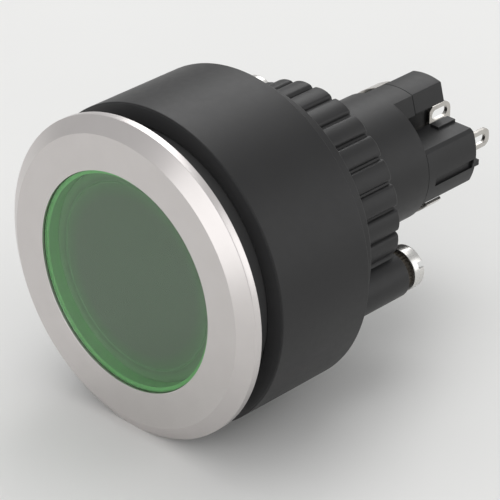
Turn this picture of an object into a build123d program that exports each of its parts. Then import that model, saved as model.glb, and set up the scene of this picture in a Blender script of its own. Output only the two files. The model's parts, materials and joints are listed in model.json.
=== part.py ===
"""Illuminated panel pushbutton with a wide metal front ring.

The origin is the centre of the cut-out, in the plane where the front ring seats on the panel.
+Y runs from the panel to the rear terminals, the front faces -Y, and +Z is up. Sizes are in
millimetres.
"""
import os
from math import cos, radians, sin, sqrt

from build123d import *

# Clearances
running_fit = 0.05
seat_fit = 0.07
loose_fit = 0.3

# Neck that goes through the panel
neck_radius = 17.5
panel_grip = 3.3
lip_height = 0.6
lip_length = 0.5

# Front ring and its seal
bezel_thickness = 2.3
bezel_chamfer_width = 1.85
bezel_chamfer_depth = 1.3
bezel_bore_inset = 3.8
bezel_edge_round = 0.15
bezel_rim_width = 1.0
seal_width = 1.5
seal_thickness = 0.6

# Clamp sleeve and the washer behind it
sleeve_length = 14.4
sleeve_slide_fit = 0.12
sleeve_rear_wall = 2.0
sleeve_edge_round = 0.2
washer_thickness = 0.8
washer_inset = 1.1

# Actuator body
body_cup_depth = 10.2
body_floor_thickness = 2.0
tail_recess = 0.75
tail_edge = 0.4
tail_passage_gap = 0.2
seal_ring_section = 0.5

# Knurled mounting ring
flange_inset = 0.2
flange_length = 3.4
flange_edge_round = 0.15
knurl_length = 8.65
knurl_inset = 3.2
knurl_lobe_radius = 3.2
knurl_count = 27
knurl_groove_angle = 24.0
knurl_groove_width = 0.45
knurl_groove_depth = 0.6
knurl_rim_round = 0.3
boss_angles = (-30.0, 150.0)
ring_wall = 2.5
boss_offset = 0.2
boss_radius = 2.96
boss_projection = 0.6
boss_rim_round = 0.25

# Clamp screws and their thread inserts
screw_radius = 1.5
screw_head_radius = 2.74
screw_head_height = 1.8
screw_head_round = 0.3
screw_slot_width = 0.8
screw_slot_depth = 1.0
screw_slot_angle = 56.0
insert_radius = 2.42
insert_length = 7.1
insert_projection = 1.15
insert_facets = 20

# Button that travels
button_travel = 3.0
lens_gap = 0.25
lens_recess = 0.35
lens_window_thickness = 1.4
lens_skirt_wall = 0.5
lens_skirt_length = 2.85
lens_edge_round = 0.25
diffuser_thickness = 0.8
holder_flange_thickness = 1.5
reflector_rim_width = 2.3
reflector_depth = 6.1
reflector_wall = 1.2
stem_gap = 0.5
stem_wall = 1.0
stem_end_clearance = 0.2
circlip_height = 0.8
circlip_thickness = 0.7
circlip_groove_depth = 0.4
circlip_opening = 4.0
return_spring_inset = 2.5
return_spring_wire = 0.9
return_spring_turns = 3

# Switch carrier and the spine behind it
carrier_radius = 8.38
carrier_length = 19.7
carrier_engagement = 7.3
carrier_floor = 1.0
carrier_wall = 1.28
web_half_width = 0.7
tower_top_half_width = 2.3
tower_foot_half_width = 2.95
tower_foot_height = 5.6
tower_root_height = 4.6
tower_length = 3.4
block_length = 5.5

# Retaining clips
clip_inset = 0.1
clip_thickness = 0.4
clip_start_angle = 108.5
clip_sweep = 31.5
clip_width = 2.7
clip_overlap = 1.2
clip_leg_height = 2.0

# Lamp, its socket and its terminals
socket_gap = 0.3
socket_length = 12.4
socket_wall = 1.3
socket_bore_depth = 8.5
lamp_cap_length = 8.2
lamp_bulb_gap = 1.0
lamp_bulb_length = 7.0
lamp_leg_gap = 0.1
lamp_leg_height = 1.2
lamp_tab_inset = 0.68
lamp_tab_projection = 3.28
lamp_tab_top = 4.22
lamp_tab_chamfer = 0.55
lamp_tab_round = 1.3
lamp_tab_hole_length = 2.9
lamp_tab_hole_width = 1.4
lamp_tab_hole_margin = 0.6

# Solder tabs
tab_thickness = 0.5
tab_width = 2.5
tab_corner = 1.0
tab_hole_width = 1.2
tab_hole_length = 2.4
tab_hole_margin = 0.75
tab_fold = 0.25

# Switch elements
element_top = 3.4
element_bottom = 3.85
element_gap = 0.2
element_wall = 0.6
element_rear_wall = 1.0
element_step_x = 2.9
element_step_z = 0.6
element_chamfer = 0.35
side_groove_centre = -0.9
side_groove_width = 0.8
side_groove_depth = 0.5
side_groove_front_margin = 1.4
side_groove_rear_margin = 0.4
latch_size = 0.75
latch_z = -1.3
ridge_x = 4.15
ridge_width = 1.3
ridge_height = 0.35
ridge_length = 3.2

# Contacts
plunger_radius = 0.75
plunger_gap = 0.35
plunger_ratio = 0.9
plunger_arm_thickness = 1.2
plunger_arm_radius = 0.5
bridge_thickness = 0.4
bridge_radius = 0.65
contact_gap_left = 0.05
contact_offset = 0.3
outer_tab_inset = 2.38
outer_tab_z = 0.2
outer_contact_drop = 0.5
outer_tab_length = 5.0
inner_contact_gap = 0.6
inner_tab_z = -1.65
inner_tab_width = 2.3
inner_tab_length = 4.0
rivet_radius = 0.6
rivet_thickness = 0.4
contact_spring_gap = 0.325
contact_spring_wire = 0.25
contact_spring_turns = 5

# Places worked out from the sizes above
seal_outer_radius = neck_radius + seal_width
bezel_radius = seal_outer_radius + bezel_rim_width
bezel_flat_radius = bezel_radius - bezel_chamfer_width
bezel_bore_radius = neck_radius - bezel_bore_inset
lip_radius = neck_radius - lip_height
flange_radius = neck_radius - flange_inset
washer_radius = flange_radius - washer_inset
knurl_radius = flange_radius - knurl_inset
knurl_groove_radius = knurl_radius - knurl_groove_depth
boss_circle_radius = knurl_radius + boss_offset
tail_radius = knurl_groove_radius - ring_wall
front_face = -bezel_thickness
sleeve_rear = panel_grip + sleeve_length
flange_rear = sleeve_rear + flange_length
knurl_rear = flange_rear + knurl_length
boss_rear = knurl_rear + boss_projection
insert_rear = boss_rear + insert_projection
insert_front = insert_rear - insert_length
screw_tip = sleeve_rear + washer_thickness
screw_head_rear = insert_rear + screw_head_height
lip_front = -seal_thickness - lip_length
body_bore_radius = bezel_bore_radius + running_fit
body_floor_rear = body_cup_depth + body_floor_thickness
body_floor_middle = body_cup_depth + body_floor_thickness / 2
tail_end = knurl_rear - tail_recess
carrier_front = tail_end - carrier_engagement
carrier_rear = carrier_front + carrier_length
carrier_floor_front = carrier_rear - carrier_floor
tower_joint = carrier_rear + tower_length
rear_plane = tower_joint + block_length
lens_radius = bezel_bore_radius - lens_gap
lens_front = front_face + lens_recess
lens_rear = lens_front + lens_skirt_length
holder_rim_radius = lens_radius - lens_skirt_wall - running_fit
diffuser_front = lens_front + lens_window_thickness + running_fit
diffuser_rear = diffuser_front + diffuser_thickness
holder_flange_rear = lens_rear + holder_flange_thickness
reflector_mouth_radius = holder_rim_radius - reflector_rim_width
return_spring_radius = bezel_bore_radius - return_spring_inset
carrier_bore_radius = carrier_radius - carrier_wall
stem_radius = carrier_bore_radius - stem_gap
stem_bore_radius = stem_radius - stem_wall
circlip_radius = stem_radius + circlip_height
tail_passage_radius = circlip_radius + tail_passage_gap
stem_end = carrier_floor_front - button_travel - stem_end_clearance
socket_radius = stem_bore_radius - socket_gap
socket_bore_radius = socket_radius - socket_wall
lamp_bulb_radius = stem_bore_radius - lamp_bulb_gap
socket_front = carrier_floor_front - socket_length
socket_bore_end = socket_front + socket_bore_depth
plunger_offset = stem_radius - stem_wall / 2
plunger_front = stem_end + plunger_gap
bridge_front = carrier_rear + plunger_arm_thickness
bridge_rear = bridge_front + bridge_thickness
rivet_front = bridge_rear + button_travel * plunger_ratio + contact_gap_left
foot_front = rivet_front + rivet_thickness
cavity_rear = rear_plane - element_rear_wall
lamp_leg_bottom = element_step_z + lamp_leg_gap
lamp_leg_middle = (web_half_width + tab_thickness / 2, lamp_leg_bottom + lamp_leg_height / 2)
lamp_tab_end = rear_plane + lamp_tab_projection
outer_tab_x = carrier_radius - outer_tab_inset
element_inner = web_half_width + element_gap
cavity_inner = element_inner + element_wall
inner_tab_x = cavity_inner + inner_contact_gap + rivet_radius + contact_offset
outer_contact = (outer_tab_x + contact_offset, outer_tab_z - outer_contact_drop)
inner_contact = (inner_tab_x - contact_offset, inner_tab_z)
contact_middle = ((outer_contact[0] + inner_contact[0]) / 2, (outer_contact[1] + inner_contact[1]) / 2)
contact_reach = (Vector(*outer_contact) - Vector(*inner_contact)).length
contact_slant = (Vector(*outer_contact) - Vector(*inner_contact)).get_angle(Vector(1, 0))
coil_limit = inner_tab_x + tab_thickness / 2 + contact_spring_gap
contact_spring_radius = contact_middle[0] - coil_limit - contact_spring_wire / 2
tower_shoulder = sqrt(carrier_radius**2 - tower_top_half_width**2)
tower_draft = (tower_foot_half_width - tower_top_half_width) / (tower_shoulder - tower_foot_height)
sides = {"right": 1, "left": -1}

os.makedirs("parts", exist_ok=True)


def section(y, side=1):
    """Plane across the axis at y, drawn in X and Z, or in their half turn for the left side.

    Its normal points to the front, so a negative extrusion goes to the rear.
    """
    return Plane(origin=(0, y, 0), x_dir=(side, 0, 0), z_dir=(0, -1, 0))


def boss_section(y, angle):
    """Plane across the axis at a screw boss, its own X pointing away from the axis."""
    outward = Vector(cos(radians(angle)), 0, sin(radians(angle)))
    return Plane(origin=outward * boss_circle_radius + Vector(0, y, 0), x_dir=outward, z_dir=(0, -1, 0))


def blade_plane(x, y, z, side=1):
    """Plane of a tab's inner face, its own X running rearward along the tab and its Y upward."""
    return Plane(origin=(side * (x - tab_thickness / 2), y, side * z), x_dir=(0, 1, 0), z_dir=(side, 0, 0))


def tab_profile(plane, length, width):
    """Solder tab behind the rear plane, with rounded corners and an oblong wire hole."""
    with BuildSketch(plane) as profile:
        with Locations(((length - tab_fold) / 2, 0)):
            Rectangle(length + tab_fold, width)
        fillet(profile.vertices().group_by(Axis.X)[-1], radius=tab_corner)
        with Locations((length - tab_hole_margin - tab_hole_length / 2, 0)):
            SlotOverall(tab_hole_length, tab_hole_width, mode=Mode.SUBTRACT)
    return profile.sketch


def spine_outline():
    """Cross-section of the spine: a thin web with a round-topped tower at each end, wider at its foot."""
    top, foot, web = tower_top_half_width, tower_foot_half_width, web_half_width
    for side in sides.values():
        ThreePointArc((side * top, side * tower_shoulder), (0, side * carrier_radius),
                      (-side * top, side * tower_shoulder))
        Polyline((-side * top, side * tower_shoulder), (-side * foot, side * tower_foot_height),
                 (-side * web, side * tower_root_height), (-side * web, -side * tower_root_height),
                 (-side * foot, -side * tower_foot_height), (-side * top, -side * tower_shoulder))


def lamp_leg_slots():
    """Two slots for the legs of the lamp's terminals, a half turn apart."""
    x, z = lamp_leg_middle
    with Locations((x, z), (-x, -z)):
        Rectangle(tab_thickness + 2 * running_fit, lamp_leg_height + 2 * running_fit)


def spring_coil(rear_end, height, turns, radius, wire):
    """Helical spring along the axis, running forward from the centre of its rear end."""
    with BuildPart() as spring:
        with BuildLine():
            coil = Helix(height / turns, height, radius, center=rear_end, direction=(0, -1, 0))
        with BuildSketch(Plane(origin=coil @ 0, z_dir=coil % 0)):
            Circle(wire / 2)
        sweep(path=coil, is_frenet=True)
    return spring.part


# Front ring: turned aluminium, chamfered in front, stepped behind for the seal and the body's lip
with BuildPart() as front_bezel:
    with BuildSketch(Plane.XY):
        with BuildLine():
            Polyline(
                (bezel_bore_radius, front_face),
                (bezel_flat_radius, front_face),
                (bezel_radius, front_face + bezel_chamfer_depth),
                (bezel_radius, 0),
                (seal_outer_radius, 0),
                (seal_outer_radius, -seal_thickness),
                (lip_radius + running_fit, -seal_thickness),
                (lip_radius + running_fit, lip_front),
                (bezel_bore_radius, lip_front),
                close=True,
            )
        make_face()
    revolve(axis=Axis.Y)
    rings = front_bezel.edges().filter_by(GeomType.CIRCLE)
    fillet(rings.group_by(Axis.Y)[0] + rings.group_by(SortBy.RADIUS)[-1], radius=bezel_edge_round)
front_bezel.part.label = "front_bezel"
export_step(front_bezel.part, "parts/front_bezel.step")

# Flat seal pressed between the front ring and the panel
with BuildPart() as panel_seal:
    with BuildSketch(section(-seal_thickness)):
        Circle(seal_outer_radius - running_fit)
        Circle(neck_radius + running_fit, mode=Mode.SUBTRACT)
    extrude(amount=-seal_thickness)
panel_seal.part.label = "panel_seal"
export_step(panel_seal.part, "parts/panel_seal.step")

# Actuator body: cup behind the front ring, floor that guides the stem, and the threaded tail
with BuildPart() as actuator_body:
    with BuildSketch(Plane.XY):
        with BuildLine():
            Polyline(
                (body_bore_radius, lip_front),
                (lip_radius, lip_front),
                (lip_radius, -seal_thickness),
                (neck_radius, -seal_thickness),
                (neck_radius, body_floor_rear),
                (tail_radius, body_floor_rear),
                (tail_radius, tail_end - tail_edge),
                (tail_radius - tail_edge, tail_end),
                (carrier_radius + seat_fit, tail_end),
                (carrier_radius + seat_fit, carrier_front),
                (tail_passage_radius, carrier_front),
                (tail_passage_radius, body_floor_rear),
                (stem_radius + running_fit, body_floor_rear),
                (stem_radius + running_fit, body_cup_depth),
                (body_bore_radius, body_cup_depth),
                close=True,
            )
        make_face()
        groove_reach = seal_ring_section + running_fit
        with Locations((stem_radius + groove_reach, body_floor_middle)):
            Rectangle(2 * groove_reach, 2 * groove_reach, mode=Mode.SUBTRACT)
    revolve(axis=Axis.Y)
actuator_body.part.label = "actuator_body"
export_step(actuator_body.part, "parts/actuator_body.step")

# Rubber ring in the floor's groove, round the button's stem
with BuildPart() as stem_seal:
    with BuildSketch(Plane.XY):
        with Locations((stem_radius + running_fit + seal_ring_section, body_floor_middle)):
            Circle(seal_ring_section)
    revolve(axis=Axis.Y)
stem_seal.part.label = "stem_seal"
export_step(stem_seal.part, "parts/stem_seal.step")

# Clamp sleeve: the wide black drum that presses on the panel from behind
with BuildPart() as clamp_sleeve:
    with BuildSketch(Plane.XY):
        with BuildLine():
            Polyline(
                (neck_radius + sleeve_slide_fit, panel_grip),
                (bezel_radius, panel_grip),
                (bezel_radius, sleeve_rear),
                (tail_radius + loose_fit, sleeve_rear),
                (tail_radius + loose_fit, sleeve_rear - sleeve_rear_wall),
                (neck_radius + sleeve_slide_fit, sleeve_rear - sleeve_rear_wall),
                close=True,
            )
        make_face()
    revolve(axis=Axis.Y)
    outer_rims = clamp_sleeve.edges().filter_by(GeomType.CIRCLE).group_by(SortBy.RADIUS)[-1]
    fillet(outer_rims, radius=sleeve_edge_round)
clamp_sleeve.part.label = "clamp_sleeve"
export_step(clamp_sleeve.part, "parts/clamp_sleeve.step")

# Steel washer that takes the screws' pressure, let into the mounting ring's front
with BuildPart() as thrust_washer:
    with BuildSketch(section(sleeve_rear)):
        Circle(washer_radius)
        Circle(tail_radius + loose_fit, mode=Mode.SUBTRACT)
    extrude(amount=-washer_thickness)
thrust_washer.part.label = "thrust_washer"
export_step(thrust_washer.part, "parts/thrust_washer.step")

# Mounting ring: knurled nut with a flange and two screw bosses, moulded as one piece
with BuildPart() as mounting_ring:
    with BuildSketch(section(flange_rear)):
        Circle(knurl_groove_radius)
        lobe_start = knurl_groove_angle + 180.0 / knurl_count
        with PolarLocations(knurl_radius - knurl_lobe_radius, knurl_count, start_angle=lobe_start):
            Circle(knurl_lobe_radius)
        with PolarLocations(knurl_radius, knurl_count, start_angle=knurl_groove_angle):
            Rectangle(2 * (knurl_radius - knurl_groove_radius), knurl_groove_width, mode=Mode.SUBTRACT)
    extrude(amount=-knurl_length)
    with BuildSketch(Plane.XY):
        with BuildLine():
            rim_side = (knurl_radius, knurl_rear - knurl_rim_round)
            rim_end = (knurl_radius - knurl_rim_round, knurl_rear)
            Polyline(rim_end, (0, knurl_rear), (0, flange_rear), (knurl_radius, flange_rear), rim_side)
            CenterArc((rim_end[0], rim_side[1]), knurl_rim_round, 0, 90)
        make_face()
    revolve(axis=Axis.Y, mode=Mode.INTERSECT)
    with BuildSketch(section(sleeve_rear)):
        Circle(flange_radius)
    extrude(amount=-flange_length)
    flange_rims = mounting_ring.edges().filter_by(GeomType.CIRCLE).group_by(SortBy.RADIUS)[-1]
    fillet(flange_rims.sort_by(Axis.Y)[-1], radius=flange_edge_round)
    for angle in boss_angles:
        with BuildSketch(boss_section(screw_tip, angle)):
            Circle(boss_radius)
        extrude(amount=screw_tip - boss_rear)
    fillet(mounting_ring.edges().group_by(Axis.Y)[-1], radius=boss_rim_round)
    for angle in boss_angles:
        with BuildSketch(boss_section(insert_front, angle)):
            Circle(insert_radius)
        extrude(amount=-insert_length, mode=Mode.SUBTRACT)
        with BuildSketch(boss_section(sleeve_rear, angle)):
            Circle(screw_radius + running_fit)
        extrude(amount=sleeve_rear - insert_front, mode=Mode.SUBTRACT)
    with BuildSketch(section(sleeve_rear)):
        Circle(tail_radius + running_fit)
    extrude(amount=sleeve_rear - knurl_rear, mode=Mode.SUBTRACT)
    with BuildSketch(section(sleeve_rear)):
        Circle(washer_radius + running_fit)
    extrude(amount=-washer_thickness, mode=Mode.SUBTRACT)
mounting_ring.part.label = "mounting_ring"
export_step(mounting_ring.part, "parts/mounting_ring.step")

# Brass thread inserts in the bosses, and the slotted screws whose tips press on the washer
for number, angle in enumerate(boss_angles, start=1):
    with BuildPart() as thread_insert:
        with BuildSketch(boss_section(insert_front, angle)):
            RegularPolygon(insert_radius, insert_facets)
            Circle(screw_radius + running_fit, mode=Mode.SUBTRACT)
        extrude(amount=-insert_length)
    thread_insert.part.label = f"thread_insert_{number}"
    export_step(thread_insert.part, f"parts/thread_insert_{number}.step")

    with BuildPart() as clamp_screw:
        with BuildSketch(boss_section(screw_tip, angle)):
            Circle(screw_radius)
        extrude(amount=screw_tip - insert_rear)
        with BuildSketch(boss_section(insert_rear, angle)):
            Circle(screw_head_radius)
        extrude(amount=-screw_head_height)
        fillet(clamp_screw.edges().group_by(Axis.Y)[-1], radius=screw_head_round)
        with BuildSketch(boss_section(screw_head_rear, angle)):
            Rectangle(3 * screw_head_radius, screw_slot_width, rotation=screw_slot_angle)
        extrude(amount=screw_slot_depth, mode=Mode.SUBTRACT)
    clamp_screw.part.label = f"clamp_screw_{number}"
    export_step(clamp_screw.part, f"parts/clamp_screw_{number}.step")

# Lens cap: clear green window with a skirt that snaps over the holder's rim
with BuildPart() as lens_cap:
    with BuildSketch(section(lens_front)):
        Circle(lens_radius)
    extrude(amount=-lens_skirt_length)
    fillet(lens_cap.edges().group_by(Axis.Y)[0], radius=lens_edge_round)
    with BuildSketch(section(lens_front + lens_window_thickness)):
        Circle(lens_radius - lens_skirt_wall)
    extrude(amount=lens_window_thickness - lens_skirt_length, mode=Mode.SUBTRACT)
lens_cap.part.label = "lens_cap"
export_step(lens_cap.part, "parts/lens_cap.step")

# Diffuser disc behind the window
with BuildPart() as diffuser:
    with BuildSketch(section(diffuser_front)):
        Circle(holder_rim_radius)
    extrude(amount=-diffuser_thickness)
diffuser.part.label = "diffuser"
export_step(diffuser.part, "parts/diffuser.step")

# Button holder: reflector cup, spring flange and the hollow stem that carries the light
with BuildPart() as button_holder:
    with BuildSketch(Plane.XY):
        with BuildLine():
            Polyline(
                (reflector_mouth_radius, diffuser_rear),
                (holder_rim_radius, diffuser_rear),
                (holder_rim_radius, lens_rear),
                (lens_radius, lens_rear),
                (lens_radius, holder_flange_rear),
                (reflector_mouth_radius - reflector_wall / 2, holder_flange_rear),
                (stem_radius, diffuser_rear + reflector_depth + reflector_wall / 2),
                (stem_radius, stem_end),
                (stem_bore_radius, stem_end),
                (stem_bore_radius, diffuser_rear + reflector_depth),
                close=True,
            )
        make_face()
        with Locations((stem_radius, body_floor_rear + circlip_thickness / 2)):
            Rectangle(2 * circlip_groove_depth, circlip_thickness, mode=Mode.SUBTRACT)
    revolve(axis=Axis.Y)
button_holder.part.label = "button_holder"
export_step(button_holder.part, "parts/button_holder.step")

# Circlip on the stem, which stops the button against the rear of the body's floor
with BuildPart() as stem_circlip:
    with BuildSketch(section(body_floor_rear)):
        Circle(circlip_radius)
        Circle(stem_radius - circlip_groove_depth, mode=Mode.SUBTRACT)
        with Locations((0, -circlip_radius)):
            Rectangle(circlip_opening, circlip_radius, mode=Mode.SUBTRACT)
    extrude(amount=-circlip_thickness)
stem_circlip.part.label = "stem_circlip"
export_step(stem_circlip.part, "parts/stem_circlip.step")

# Return spring between the body's floor and the holder's flange
spring_seat = return_spring_wire / 2 + running_fit
spring_height = body_cup_depth - holder_flange_rear - 2 * spring_seat
return_spring = spring_coil((0, body_cup_depth - spring_seat, 0), spring_height, return_spring_turns,
                            return_spring_radius, return_spring_wire)
return_spring.label = "return_spring"
export_step(return_spring, "parts/return_spring.step")

# Switch carrier: tube that plugs into the tail, with the front half of the spine on its floor
with BuildPart() as switch_carrier:
    with BuildSketch(section(carrier_front)):
        Circle(carrier_radius)
    extrude(amount=-carrier_length)
    with BuildSketch(section(carrier_front)):
        Circle(carrier_bore_radius)
    extrude(amount=carrier_floor - carrier_length, mode=Mode.SUBTRACT)
    with BuildSketch(section(carrier_rear)):
        with BuildLine():
            spine_outline()
        make_face()
    extrude(amount=-tower_length)
    with BuildSketch(section(carrier_floor_front)):
        lamp_leg_slots()
        with Locations((plunger_offset, 0), (-plunger_offset, 0)):
            Circle(plunger_radius + running_fit)
    extrude(amount=-carrier_floor, mode=Mode.SUBTRACT)
switch_carrier.part.label = "switch_carrier"
export_step(switch_carrier.part, "parts/switch_carrier.step")

# Terminal block: the rear half of the spine, between the lamp's two terminals
with BuildPart() as terminal_block:
    with BuildSketch(section(tower_joint)):
        with BuildLine():
            spine_outline()
        make_face()
    extrude(amount=-block_length)
terminal_block.part.label = "terminal_block"
export_step(terminal_block.part, "parts/terminal_block.step")

# Spring-steel clips in two opposite notches, each with a leg against a tower's side
clip_radius = carrier_radius - clip_inset
leg_top = clip_radius * sin(radians(clip_start_angle)) - clip_inset
leg_x = tower_top_half_width + tower_draft * (tower_shoulder - leg_top)
leg_shift = tower_draft * clip_leg_height
for number, side in enumerate(sides.values(), start=1):
    with BuildPart() as carrier_clip:
        with BuildSketch(section(tower_joint - clip_overlap, side)):
            with BuildLine():
                outer_arc = CenterArc((0, 0), clip_radius, clip_start_angle, clip_sweep)
                inner_arc = CenterArc((0, 0), clip_radius - clip_thickness, clip_start_angle, clip_sweep)
                Line(outer_arc @ 0, inner_arc @ 0)
                Line(outer_arc @ 1, inner_arc @ 1)
            make_face()
            with BuildLine():
                Polyline(
                    (-leg_x, leg_top),
                    (-leg_x - leg_shift, leg_top - clip_leg_height),
                    (-leg_x - leg_shift - clip_thickness, leg_top - clip_leg_height),
                    (-leg_x - clip_thickness, leg_top),
                    close=True,
                )
            make_face()
        extrude(amount=-clip_width)
    carrier_clip.part.label = f"carrier_clip_{number}"
    export_step(carrier_clip.part, f"parts/carrier_clip_{number}.step")

# Lamp socket, seated on the carrier's floor
with BuildPart() as lamp_socket:
    with BuildSketch(section(socket_front)):
        Circle(socket_radius)
    extrude(amount=-socket_length)
    with BuildSketch(section(socket_front)):
        Circle(socket_bore_radius)
    extrude(amount=-socket_bore_depth, mode=Mode.SUBTRACT)
    with BuildSketch(section(socket_bore_end)):
        lamp_leg_slots()
    extrude(amount=socket_bore_depth - socket_length, mode=Mode.SUBTRACT)
lamp_socket.part.label = "lamp_socket"
export_step(lamp_socket.part, "parts/lamp_socket.step")

# Lamp with a domed bulb, whose plain cap plugs into the socket
bulb_shoulder = socket_front - lamp_bulb_length
with BuildPart() as led_lamp:
    with BuildSketch(Plane.XY):
        with BuildLine():
            cap_radius = socket_bore_radius - running_fit
            Polyline(
                (0, bulb_shoulder - lamp_bulb_radius),
                (0, socket_front + lamp_cap_length),
                (cap_radius, socket_front + lamp_cap_length),
                (cap_radius, socket_front),
                (lamp_bulb_radius, socket_front),
                (lamp_bulb_radius, bulb_shoulder),
            )
            CenterArc((0, bulb_shoulder), lamp_bulb_radius, -90, 90)
        make_face()
    revolve(axis=Axis.Y)
led_lamp.part.label = "led_lamp"
export_step(led_lamp.part, "parts/led_lamp.step")

# Lamp terminals: legs from the socket along the web's sides, ending in upright tabs with a wire slot
tab_front = rear_plane - lamp_tab_inset
hole_middle = lamp_tab_end - lamp_tab_hole_margin - lamp_tab_hole_length / 2
hole_height = lamp_tab_top - lamp_tab_hole_margin - lamp_tab_hole_width / 2
for number, side in enumerate(sides.values(), start=1):
    with BuildPart() as lamp_terminal:
        with BuildSketch(blade_plane(lamp_leg_middle[0], 0, 0, side)) as blade:
            with BuildLine():
                Polyline(
                    (socket_bore_end, lamp_leg_bottom),
                    (lamp_tab_end, lamp_leg_bottom),
                    (lamp_tab_end, lamp_tab_top),
                    (tab_front, lamp_tab_top),
                    (tab_front, lamp_leg_bottom + lamp_leg_height),
                    (socket_bore_end, lamp_leg_bottom + lamp_leg_height),
                    close=True,
                )
            make_face()
            chamfer(blade.vertices().group_by(Axis.Y)[-1].sort_by(Axis.X)[0], length=lamp_tab_chamfer)
            fillet(blade.vertices().group_by(Axis.Y)[-1].sort_by(Axis.X)[-1], radius=lamp_tab_round)
            with Locations((hole_middle, hole_height)):
                SlotOverall(lamp_tab_hole_length, lamp_tab_hole_width, mode=Mode.SUBTRACT)
        extrude(amount=tab_thickness)
    lamp_terminal.part.label = f"lamp_terminal_{number}"
    export_step(lamp_terminal.part, f"parts/lamp_terminal_{number}.step")

# Switch elements: on each side a housing, two contact terminals, a plunger, its bridge and its spring
top_reach = sqrt(carrier_radius**2 - element_top**2)
bottom_reach = sqrt(carrier_radius**2 - element_bottom**2)
cavity_reach = sqrt((carrier_radius - element_wall) ** 2 - (element_bottom - element_wall) ** 2)
groove_top = side_groove_centre + side_groove_width / 2
groove_floor = sqrt(carrier_radius**2 - groove_top**2) - side_groove_depth
for name, side in sides.items():
    with BuildPart() as switch_element:
        with BuildSketch(section(carrier_rear, side)) as outline:
            with BuildLine():
                ThreePointArc((bottom_reach, -element_bottom), (carrier_radius, 0), (top_reach, element_top))
                Polyline(
                    (top_reach, element_top),
                    (element_step_x, element_top),
                    (element_step_x, element_step_z),
                    (element_inner, element_step_z),
                    (element_inner, -element_bottom),
                    (bottom_reach, -element_bottom),
                )
            make_face()
            outer_corner = outline.vertices().group_by(Axis.Y)[-1].sort_by(Axis.X)[-1]
            chamfer(outer_corner, length=element_chamfer)
        extrude(amount=carrier_rear - rear_plane)
        with BuildSketch(section(carrier_rear, side)):
            with BuildLine():
                Polyline(
                    (cavity_inner, element_wall - element_bottom),
                    (cavity_reach, element_wall - element_bottom),
                    (cavity_reach, element_top - element_wall),
                    (element_step_x + element_wall, element_top - element_wall),
                    (element_step_x + element_wall, element_step_z - element_wall),
                    (cavity_inner, element_step_z - element_wall),
                    close=True,
                )
            make_face()
        extrude(amount=carrier_rear - cavity_rear, mode=Mode.SUBTRACT)
        with BuildSketch(section(carrier_rear + side_groove_front_margin, side)):
            with Locations((groove_floor + side_groove_depth, side_groove_centre)):
                Rectangle(2 * side_groove_depth, side_groove_width, mode=Mode.ADD)
        groove_length = rear_plane - carrier_rear - side_groove_front_margin - side_groove_rear_margin
        extrude(amount=-groove_length, mode=Mode.SUBTRACT)
        with BuildSketch(section(rear_plane, side)):
            with Locations((groove_floor, latch_z)):
                Rectangle(latch_size, latch_size)
        extrude(amount=-latch_size)
        with BuildSketch(section(rear_plane - ridge_length, side)):
            with Locations((ridge_x, element_top)):
                Rectangle(ridge_width, 2 * ridge_height)
        extrude(amount=-ridge_length)
        with BuildSketch(section(cavity_rear, side)):
            with Locations((outer_tab_x, outer_tab_z)):
                Rectangle(tab_thickness + 2 * running_fit, tab_width + 2 * running_fit)
            with Locations((inner_tab_x, inner_tab_z)):
                Rectangle(tab_thickness + 2 * running_fit, inner_tab_width + 2 * running_fit)
        extrude(amount=-element_rear_wall, mode=Mode.SUBTRACT)
    switch_element.part.label = f"switch_element_{name}"
    export_step(switch_element.part, f"parts/switch_element_{name}.step")

    terminals = {
        "outer": (outer_tab_x, outer_tab_z, tab_width, outer_tab_length, outer_contact),
        "inner": (inner_tab_x, inner_tab_z, inner_tab_width, inner_tab_length, inner_contact),
    }
    for place, (tab_x, tab_z, width, length, contact) in terminals.items():
        with BuildPart() as contact_terminal:
            with BuildSketch(blade_plane(tab_x, (foot_front + rear_plane) / 2, tab_z, side)):
                Rectangle(rear_plane - foot_front, width)
            extrude(amount=tab_thickness)
            tab = tab_profile(blade_plane(tab_x, rear_plane, tab_z, side), length, width)
            extrude(tab, amount=tab_thickness)
            with BuildSketch(section(foot_front, side)):
                with Locations(contact):
                    Rectangle(2 * rivet_radius, 2 * rivet_radius)
            extrude(amount=-tab_thickness)
            with BuildSketch(section(rivet_front, side)):
                with Locations(contact):
                    Circle(rivet_radius)
            extrude(amount=-rivet_thickness)
        contact_terminal.part.label = f"{place}_terminal_{name}"
        export_step(contact_terminal.part, f"parts/{place}_terminal_{name}.step")

    with BuildPart() as plunger:
        with BuildSketch(section(plunger_front, side)):
            with Locations((plunger_offset, 0)):
                Circle(plunger_radius)
        extrude(amount=plunger_front - bridge_front)
        with BuildSketch(section(carrier_rear, side)):
            with Locations(contact_middle):
                SlotCenterToCenter(contact_reach, 2 * plunger_arm_radius, rotation=contact_slant)
        extrude(amount=-plunger_arm_thickness)
    plunger.part.label = f"plunger_{name}"
    export_step(plunger.part, f"parts/plunger_{name}.step")

    with BuildPart() as contact_bridge:
        with BuildSketch(section(bridge_front, side)):
            with Locations(contact_middle):
                SlotCenterToCenter(contact_reach, 2 * bridge_radius, rotation=contact_slant)
        extrude(amount=-bridge_thickness)
    contact_bridge.part.label = f"contact_bridge_{name}"
    export_step(contact_bridge.part, f"parts/contact_bridge_{name}.step")

    coil_seat = contact_spring_wire / 2 + running_fit
    coil_height = cavity_rear - bridge_rear - 2 * coil_seat
    coil_rear = (side * contact_middle[0], cavity_rear - coil_seat, side * contact_middle[1])
    contact_spring = spring_coil(coil_rear, coil_height, contact_spring_turns, contact_spring_radius,
                                 contact_spring_wire)
    contact_spring.label = f"contact_spring_{name}"
    export_step(contact_spring, f"parts/contact_spring_{name}.step")
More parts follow.
